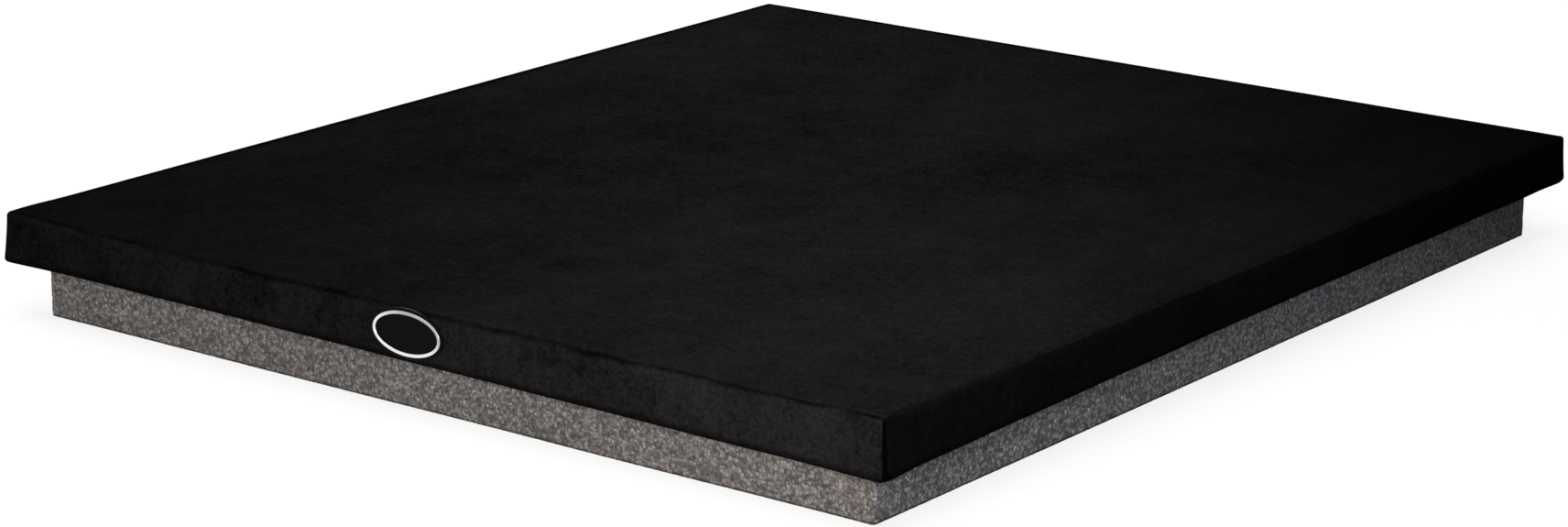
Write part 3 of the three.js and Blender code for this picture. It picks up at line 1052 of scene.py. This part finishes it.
@dataclass
class FoamSlab:
    """The foam base: knife-cut sides of torn cells, and a middle that rises inside the hem."""

    node: str = "foam_base"
    corner: float = 1.6 * MM
    slab_height: float = 24.0 * MM
    step_inset: float = 25.8 * MM
    cell_relief: float = 0.42 * MM
    cut_wander: float = 0.35 * MM
    torn_cells: Ripple = Ripple(1.6 * MM, 3.3)
    knife_waves: Ripple = Ripple(70 * MM, 8.8)
    rows: int = 24
    worn_foot: float = 0.35 * MM
    foot_rings: tuple[float, float] = (0.35, 0.9)
    pocket_room: float = 0.3 * MM
    middle_gap: float = 2.0 * MM
    under_insets: tuple[float, ...] = (60 * MM, 12 * MM, 3 * MM)
    top_inset: float = 4.0 * MM
    middle_height: float = field(init=False)
    plan: RoundedPlan = field(init=False)

    def __post_init__(self) -> None:
        """Takes the slab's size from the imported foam."""
        lowest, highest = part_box(self.node)
        self.middle_height = highest[2]
        self.plan = RoundedPlan(
            half_x=(highest[0] - lowest[0]) / 2,
            half_y=(highest[1] - lowest[1]) / 2,
            corner=self.corner,
            fine=0.8 * MM,
            coarse=1.0 * MM,
            arc_steps=4,
        )

    def levels(self) -> np.ndarray:
        """The heights of the side's rings, with two more at the rounded foot."""
        even = np.linspace(0.0, self.slab_height, self.rows + 1)
        foot = [share * self.worn_foot for share in self.foot_rings]
        return np.sort(np.concatenate([even, foot]))

    def cut_face(self, ring: np.ndarray) -> np.ndarray:
        """Roughens one ring of the side.

        Args:
            The ring as an untorn knife cut would leave it.

        Returns:
            The ring with its torn cells.
        """
        cells = self.torn_cells.at(ring)
        knife = self.knife_waves.at(ring * np.array([1.0, 1.0, 0.35]))
        outward = (0.4 - np.abs(cells)) * self.cell_relief + knife * self.cut_wander
        torn = ring.copy()
        torn[:, :2] += self.plan.normal * outward[:, None]
        return torn

    def build(self, material: bpy.types.Material) -> bpy.types.Object:
        """Makes the foam.

        Args:
            material: The speckled foam.

        Returns:
            The slab's piece.
        """
        plan = self.plan
        middle = plan.half_x - self.middle_gap
        rings = [plan.ring(inset, 0.0) for inset in (middle, *self.under_insets)]
        for height in self.levels():
            foot = max(0.0, 1 - height / (1.5 * self.worn_foot)) ** 2
            rings.append(self.cut_face(plan.ring(self.worn_foot * foot, height)))
        rings.append(plan.ring(self.top_inset, self.slab_height))
        rings.append(plan.ring(self.step_inset, self.slab_height))
        rings.append(plan.ring(self.step_inset, self.middle_height))
        rings.append(plan.ring(middle, self.middle_height))
        mesh = mesh_of_rings(self.node.replace("base", "slab"), rings, capped=True)
        piece = piece_of(mesh, material, [self.node])
        self.clear_staples(piece)
        return piece

    def clear_staples(self, piece: bpy.types.Object) -> None:
        """Cuts a pocket for each staple's crown in the slab's upper face.

        Args:
            piece: The slab's piece.
        """
        boxes = bmesh.new()
        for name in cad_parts:
            if not name.startswith("staple"):
                continue
            low, high = (Vector(corner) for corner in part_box(name))
            grown = Vector([self.pocket_room] * 3)
            low, high = low - grown, high + grown
            place = Matrix.Translation((low + high) / 2) @ Matrix.Diagonal((*(high - low), 1.0))
            bmesh.ops.create_cube(boxes, size=1.0, matrix=place)
        cutter_mesh = bpy.data.meshes.new("staple_pockets")
        boxes.to_mesh(cutter_mesh)
        boxes.free()
        cutter = linked("staple_pockets", cutter_mesh)
        cut = piece.modifiers.new("pockets", "BOOLEAN")
        cut.operation, cut.solver, cut.object = "DIFFERENCE", "EXACT", cutter
        finished = bpy.data.meshes.new_from_object(
            piece.evaluated_get(bpy.context.evaluated_depsgraph_get())
        )
        piece.modifiers.clear()
        finished.name = piece.data.name
        piece.data = finished
        bpy.data.objects.remove(cutter)


@dataclass
class Badge:
    """The oval badge: a black plate with a raised bright rim round a plain sunken field."""

    node: str = "badge_plate"
    border_width: float = 1.2 * MM
    rim_width: float = 1.4 * MM
    border_height: float = 0.9 * MM
    field_sink: float = 0.25 * MM
    edge_ease: float = 0.25 * MM
    back_inset: float = 6.0 * MM
    rim_bedding: float = 0.15 * MM
    rim_fullness: float = 0.55
    steps: int = 96
    low: Vector = field(init=False)
    high: Vector = field(init=False)

    def __post_init__(self) -> None:
        """Takes the badge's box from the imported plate."""
        self.low, self.high = (Vector(corner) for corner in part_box(self.node))

    def oval(self, inset: float, proud: float) -> np.ndarray:
        """One oval ring of the badge.

        Args:
            inset: How far it lies inside the badge's edge.
            proud: How far it stands out from the badge's back.

        Returns:
            The ring's places.
        """
        middle, half = (self.low + self.high) / 2, (self.high - self.low) / 2
        angle = np.linspace(0, 2 * math.pi, self.steps, endpoint=False)
        x = middle.x + (half.x - inset) * np.cos(angle)
        z = middle.z + (half.z - inset) * np.sin(angle)
        return np.column_stack([x, np.full(self.steps, self.high.y - proud), z])

    def plate(self, material: bpy.types.Material) -> bpy.types.Object:
        """Makes the black plate, whose field dishes very slightly.

        Args:
            material: The enamel.

        Returns:
            The plate's piece.
        """
        ease, height, well = self.edge_ease, self.border_height, self.border_width + self.rim_width
        floor = height - self.field_sink
        rings = [self.oval(self.back_inset, 0.0), self.oval(ease, 0.0), self.oval(0.0, ease)]
        for angle in np.linspace(0, math.pi / 2, 5):
            proud = height - ease * (1 - math.sin(angle))
            rings.append(self.oval(ease * (1 - math.cos(angle)), proud))
        for inset, proud in (
            (self.border_width + 0.1 * MM, height),
            (well - 0.2 * MM, height),
            (well, floor + 0.05 * MM),
            (well + 0.3 * MM, floor),
            (well + 2.5 * MM, floor + 0.06 * MM),
            (well + 5.5 * MM, floor + 0.09 * MM),
        ):
            rings.append(self.oval(inset, proud))
        mesh = mesh_of_rings("badge_enamel", rings, capped=True)
        return piece_of(mesh, material, [self.node])

    def rim(self, material: bpy.types.Material) -> bpy.types.Object:
        """Makes the raised rim, round in section where it stands above the plate.

        Args:
            material: The bright metal.

        Returns:
            The rim's piece.
        """
        top = self.high.y - self.low.y
        base = self.border_height - self.rim_bedding
        middle, half = self.border_width + self.rim_width / 2, self.rim_width / 2
        rings = [self.oval(middle - half, base)]
        for angle in np.linspace(0, math.pi, 13):
            bow = max(math.sin(angle), 0.0) ** self.rim_fullness
            proud = base + (top - base) * (0.3 + 0.7 * bow)
            rings.append(self.oval(middle - half * math.cos(angle), proud))
        rings.append(self.oval(middle + half, base))
        mesh = mesh_of_rings("badge_rim", rings, capped=False)
        return piece_of(mesh, material, [self.node])


@dataclass(frozen=True)
class Lamp:
    """A square soft lamp: its place, the length of its side in metres, its watts and its colour."""

    name: str
    place: tuple[float, float, float]
    size: float
    power: float
    colour: Colour


@dataclass
class Studio:
    """The plain white studio: a floor, three soft lamps, an even sky and the camera."""

    floor_half: float = 9.0
    floor_colour: Colour = (0.5, 0.5, 0.5)
    seen_floor_colour: Colour = (0.3, 0.3, 0.3)
    near_lift: float = 0.8
    far_lift: float = 1.0
    lift_from: float = 0.32
    lift_to: float = 0.75
    sky: float = 0.15
    sky_colour: Colour = (0.7, 0.86, 1.0)
    key: Lamp = Lamp("key_lamp", (0.56, -1.05, 0.34), 0.4, 7.9, (1.0, 0.93, 0.88))
    overhead: Lamp = Lamp("overhead_lamp", (0.0, -0.3, 1.6), 1.6, 16.6, (1.0, 0.985, 0.985))
    fill: Lamp = Lamp("fill_lamp", (-0.9, 1.15, 0.32), 0.7, 6.0, (1.0, 0.99, 0.98))
    aim: tuple[float, float, float] = (0.0, 0.0, 0.03)
    focal_px: float = 4495.7
    camera_place: tuple[float, float, float] = (1.0309, -1.3780, 0.4942)
    camera_pitch: float = 15.881
    camera_yaw: float = 37.242
    camera_roll: float = 0.268

    def floor(self) -> bpy.types.Object:
        """Makes the floor, which shows white to the camera and keeps the pad's shadow."""
        mesh = bpy.data.meshes.new("studio_floor")
        h = self.floor_half
        mesh.from_pydata([(-h, -h, 0), (h, -h, 0), (h, h, 0), (-h, h, 0)], [], [(0, 1, 2, 3)])
        material = bpy.data.materials.new("studio_floor")
        material.use_nodes = True
        graph = Graph(material.node_tree)
        seen = self.seen(graph)
        colour = graph.blend(seen, self.floor_colour, self.seen_floor_colour)
        plain = graph.add("BsdfDiffuse", Color=colour)
        away = graph.add("VectorMath", Vector=graph.row_place(), set_operation="LENGTH")
        reach = (self.lift_from, self.lift_to)
        lift = graph.remap(away.outputs["Value"], reach, (self.near_lift, self.far_lift))
        lift = graph.math("MULTIPLY", seen, lift)
        white = graph.add("Emission", Color=grey(1.0), Strength=lift)
        both = graph.add("AddShader")
        graph.feed(both, 0, plain.outputs[0])
        graph.feed(both, 1, white.outputs[0])
        graph.add("OutputMaterial", Surface=both.outputs[0])
        mesh.materials.append(material)
        floor = linked("studio_floor", mesh)
        return floor

    def seen(self, graph: Graph) -> bpy.types.NodeSocket:
        """1 for rays from the camera, or by way of metal or glass, and 0 for light's own rays."""
        path = graph.add("LightPath")
        direct = graph.math("MAXIMUM", path.outputs["Is Camera Ray"], path.outputs["Is Glossy Ray"])
        return graph.math("MAXIMUM", direct, path.outputs["Is Transmission Ray"])

    def world(self) -> None:
        """Makes the sky: an even soft light, seen as white."""
        world = bpy.data.worlds.new("studio")
        bpy.context.scene.world = world
        world.use_nodes = True
        graph = Graph(world.node_tree)
        seen = self.seen(graph)
        level = graph.remap(seen, UNIT, (self.sky, 1.0))
        colour = graph.blend(seen, self.sky_colour, grey(1.0))
        sky = graph.add("Background", Color=colour, Strength=level)
        graph.add("OutputWorld", Surface=sky.outputs[0])

    def hang(self, lamp: Lamp) -> bpy.types.Object:
        """Hangs a lamp, aimed at the pad.

        Args:
            lamp: Its place, size and power.

        Returns:
            The lamp's object.
        """
        data = bpy.data.lights.new(lamp.name, "AREA")
        data.shape, data.size, data.energy, data.color = "SQUARE", lamp.size, lamp.power, lamp.colour
        hung = linked(lamp.name, data)
        hung.location = lamp.place
        hung.visible_camera = False
        hung.rotation_mode = "QUATERNION"
        away = Vector(self.aim) - Vector(lamp.place)
        hung.rotation_quaternion = away.to_track_quat("-Z", "Y")
        return hung

    def camera(self) -> bpy.types.Object:
        """Stands the camera where the photograph was taken from."""
        data = bpy.data.cameras.new("camera")
        data.sensor_width, data.sensor_fit = SENSOR_MM, "HORIZONTAL"
        data.lens = self.focal_px / PHOTO_WIDTH_PX * SENSOR_MM
        data.clip_start, data.clip_end = 0.05, 60.0
        camera = linked("camera", data)
        pitch, yaw, roll = (
            math.radians(a) for a in (self.camera_pitch, self.camera_yaw, self.camera_roll)
        )
        turn = (
            Matrix.Rotation(yaw, 4, "Z")
            @ Matrix.Rotation(math.pi / 2 - pitch, 4, "X")
            @ Matrix.Rotation(roll, 4, "Z")
        )
        camera.matrix_world = Matrix.Translation(self.camera_place) @ turn
        bpy.context.scene.camera = camera
        return camera

    def build(self) -> None:
        """Sets up the floor, the light, the camera and the colour management."""
        self.floor()
        self.world()
        for lamp in (self.key, self.overhead, self.fill):
            self.hang(lamp)
        self.camera()
        bpy.context.scene.view_settings.view_transform = "Standard"


def dress_nodes(finishes: dict[str, bpy.types.Material]) -> None:
    """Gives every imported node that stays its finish.

    Args:
        finishes: A material for each start of a node's name.
    """
    for name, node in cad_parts.items():
        for start, material in finishes.items():
            if name.startswith(start):
                node.data.materials.clear()
                node.data.materials.append(material)


def report(piece: bpy.types.Object) -> None:
    """Logs a piece's name and its number of faces."""
    log.info("%s: %d faces", piece.name, len(piece.data.polygons))


def main() -> None:
    """Builds the studio and dresses the pad, piece by piece."""
    logging.basicConfig(level=logging.INFO, format="%(name)s %(message)s")
    effects = Effects()
    Studio().build()
    report(VelourCover().build(Velour().material(effects)))
    report(FoamSlab().build(SpeckledFoam().material(effects)))
    badge = Badge()
    report(badge.plate(BlackEnamel().material(effects)))
    report(badge.rim(BrightRim().material(effects)))
    dress_nodes(
        {
            "board_core": Fibreboard().material(effects),
            "staple": ZincWire().material(effects),
        }
    )


if __name__ == "__main__":
    main()
